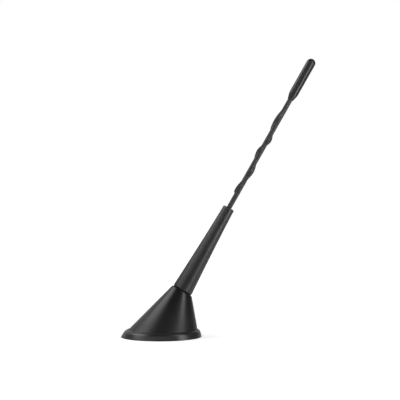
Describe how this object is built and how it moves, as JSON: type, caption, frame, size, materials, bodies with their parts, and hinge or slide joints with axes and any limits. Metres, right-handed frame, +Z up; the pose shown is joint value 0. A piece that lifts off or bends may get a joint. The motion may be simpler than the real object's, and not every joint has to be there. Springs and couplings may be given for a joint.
{
  "type": "digital radio roof antenna",
  "caption": "Roof antenna for digital radio: a cone housing on a rubber gasket, with a leaning screw-in whip mast that has a tapered ferrule, a helical rib and a rounded tip cap.",
  "frame": {"origin": "the roof bolt's axis at the plane where the gasket meets the roof", "axes": "+Z up, square to the roof; +X the way the mast leans"},
  "size_m": [0.1733, 0.066, 0.2457],
  "materials": {
    "satin_plastic": "satin moulded, fine even texture",
    "grained_plastic": "matte, fine moulded grain",
    "jacket_plastic": "smooth satin sleeve",
    "cap_rubber": "smooth satin rubber",
    "gasket_rubber": "moulded rubber",
    "seal_rubber": "matte rubber",
    "die_cast_zinc": "as cast, dull grey",
    "zinc_steel": "bright zinc plated",
    "turned_brass": "turned",
    "plated_brass": "plated, bright",
    "spring_bronze": "rolled strip",
    "tin_plate": "tinned",
    "can_aluminium": "drawn can",
    "copper_wire": "enamelled wire",
    "fibreglass": "pultruded rod",
    "white_plastic": "natural, smooth",
    "green_laminate": "lacquered circuit board",
    "chip_epoxy": "moulded epoxy",
    "ferrite": "sintered ferrite",
    "shroud_plastic": "moulded"
  },
  "bodies": {
    "base": {"base_housing": "satin_plastic", "mast_socket": "turned_brass", "contact_strip": "spring_bronze", "amplifier_board": "green_laminate", "shield_can": "tin_plate", "amplifier_chip": "chip_epoxy", "voltage_regulator": "chip_epoxy", "filter_coil": "ferrite", "board_capacitors": "can_aluminium", "board_screws": "zinc_steel", "coax_socket": "plated_brass", "coax_insulator": "white_plastic", "coax_pin": "plated_brass", "power_shroud": "shroud_plastic", "power_blade": "tin_plate", "base_plate": "die_cast_zinc", "plate_screws": "zinc_steel", "gasket": "gasket_rubber"},
    "seal": {"mast_seal": "seal_rubber"},
    "mast": {"tip_cap": "cap_rubber", "whip_jacket": "jacket_plastic", "whip_rod": "fibreglass", "radiator_wire": "copper_wire", "mast_ferrule": "grained_plastic", "rod_socket": "turned_brass", "coil_former": "white_plastic", "matching_coil": "copper_wire", "mast_stud": "zinc_steel"}
  },
  "joints": [
    {"name": "mast_lift", "type": "slide", "parent": "base", "child": "seal", "axis": [0.497, 0, 0.8678], "range_m": [0, 0.008]},
    {"name": "mast_unscrew", "type": "hinge", "parent": "seal", "child": "mast", "pos_m": [0.0183, 0, 0.04], "axis": [0.497, 0, 0.8678], "range_deg": [0, 2880]}
  ],
  "couplings": [
    {"joint": "mast_unscrew", "follows": "mast_lift", "rad_per_m": 6283.2}
  ]
}
